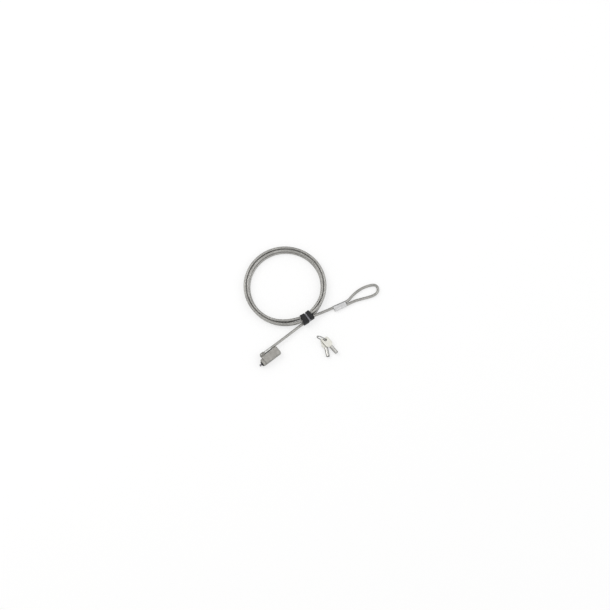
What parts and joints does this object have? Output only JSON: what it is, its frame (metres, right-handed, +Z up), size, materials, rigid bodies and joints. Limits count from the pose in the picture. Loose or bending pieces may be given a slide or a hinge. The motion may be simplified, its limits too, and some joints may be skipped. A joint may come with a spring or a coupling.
{
  "type": "laptop cable lock",
  "caption": "Keyed lock head with a turning T-bar nose, swivelling anchor, coiled steel cable with a crimped loop, tie strap and tubular keys on a ring.",
  "frame": {"origin": "centre of the lock housing's underside, on the table", "axes": "+X from the nose to the keyway, +Y from the lock to its cable anchor, +Z up"},
  "size_m": [0.2304, 0.2026, 0.0156],
  "materials": {
    "satin_nickel": "satin",
    "bright_nickel": "polished",
    "crimp_aluminium": "polished",
    "cable_jacket": "clear coat over grey steel rope",
    "black_rubber": "matt",
    "tie_fabric": "brushed loop fabric",
    "hard_steel": "ground",
    "ring_steel": "polished",
    "brass": "machined",
    "bezel_steel": "satin",
    "key_nickel": "warm satin nickel"
  },
  "bodies": {
    "cable": {"cable_ferrule": "bright_nickel", "rope_core": "hard_steel", "cable_lead": "cable_jacket", "cable_coil": "cable_jacket", "cable_tail": "cable_jacket", "cable_loop": "cable_jacket", "loop_ferrule": "crimp_aluminium", "tie_strap": "tie_fabric"},
    "swivel_lug": {"swivel_lug": "satin_nickel", "hinge_pin": "bright_nickel"},
    "lock_head": {"lock_housing": "satin_nickel", "nose_cap": "satin_nickel", "nose_pad": "black_rubber", "guide_pins": "hard_steel", "anchor_post": "hard_steel", "thrust_washer": "hard_steel", "shaft_bush": "brass", "cylinder_sleeve": "brass", "pin_block": "brass", "driver_pins": "brass", "pin_springs": "hard_steel", "keyway_bezel": "bezel_steel", "retaining_pin": "hard_steel", "stop_pin": "hard_steel"},
    "lock_rotor": {"rotor": "brass", "key_pins": "brass", "t_bar": "hard_steel", "drive_collar": "hard_steel", "drive_pin": "hard_steel"},
    "key_ring": {"split_ring": "ring_steel"},
    "key_a": {"key_a_bow": "key_nickel", "key_a_barrel": "key_nickel"},
    "key_b": {"key_b_bow": "key_nickel", "key_b_barrel": "key_nickel"}
  },
  "joints": [
    {"name": "cable_pivot", "type": "hinge", "parent": "cable", "child": "swivel_lug", "pos_m": [-0.0114, 0.01015, 0.0053], "axis": [0, 0, 1], "range_deg": [-180, 0]},
    {"name": "anchor_swivel", "type": "hinge", "parent": "swivel_lug", "child": "lock_head", "pos_m": [-0.0114, 0.0075, 0.0053], "axis": [0, 1, 0], "continuous": true},
    {"name": "key_turn", "type": "hinge", "parent": "lock_head", "child": "lock_rotor", "pos_m": [0, -0.0021, 0.0053], "axis": [-1, 0, 0], "range_deg": [0, 90]},
    {"name": "key_set_lift", "type": "slide", "parent": "cable", "child": "key_ring", "axis": [0, 0, 1], "range_m": [0, 0.06]},
    {"name": "key_a_swing", "type": "hinge", "parent": "key_ring", "child": "key_a", "pos_m": [0.0833, -0.03285, 0.00665], "axis": [0.0088, -0.132, 0.9912], "range_deg": [0, 60]},
    {"name": "key_b_swing", "type": "hinge", "parent": "key_ring", "child": "key_b", "pos_m": [0.08228, -0.03118, 0.0027], "axis": [0.01, 0.0208, 0.9997], "range_deg": [-60, 0]}
  ]
}
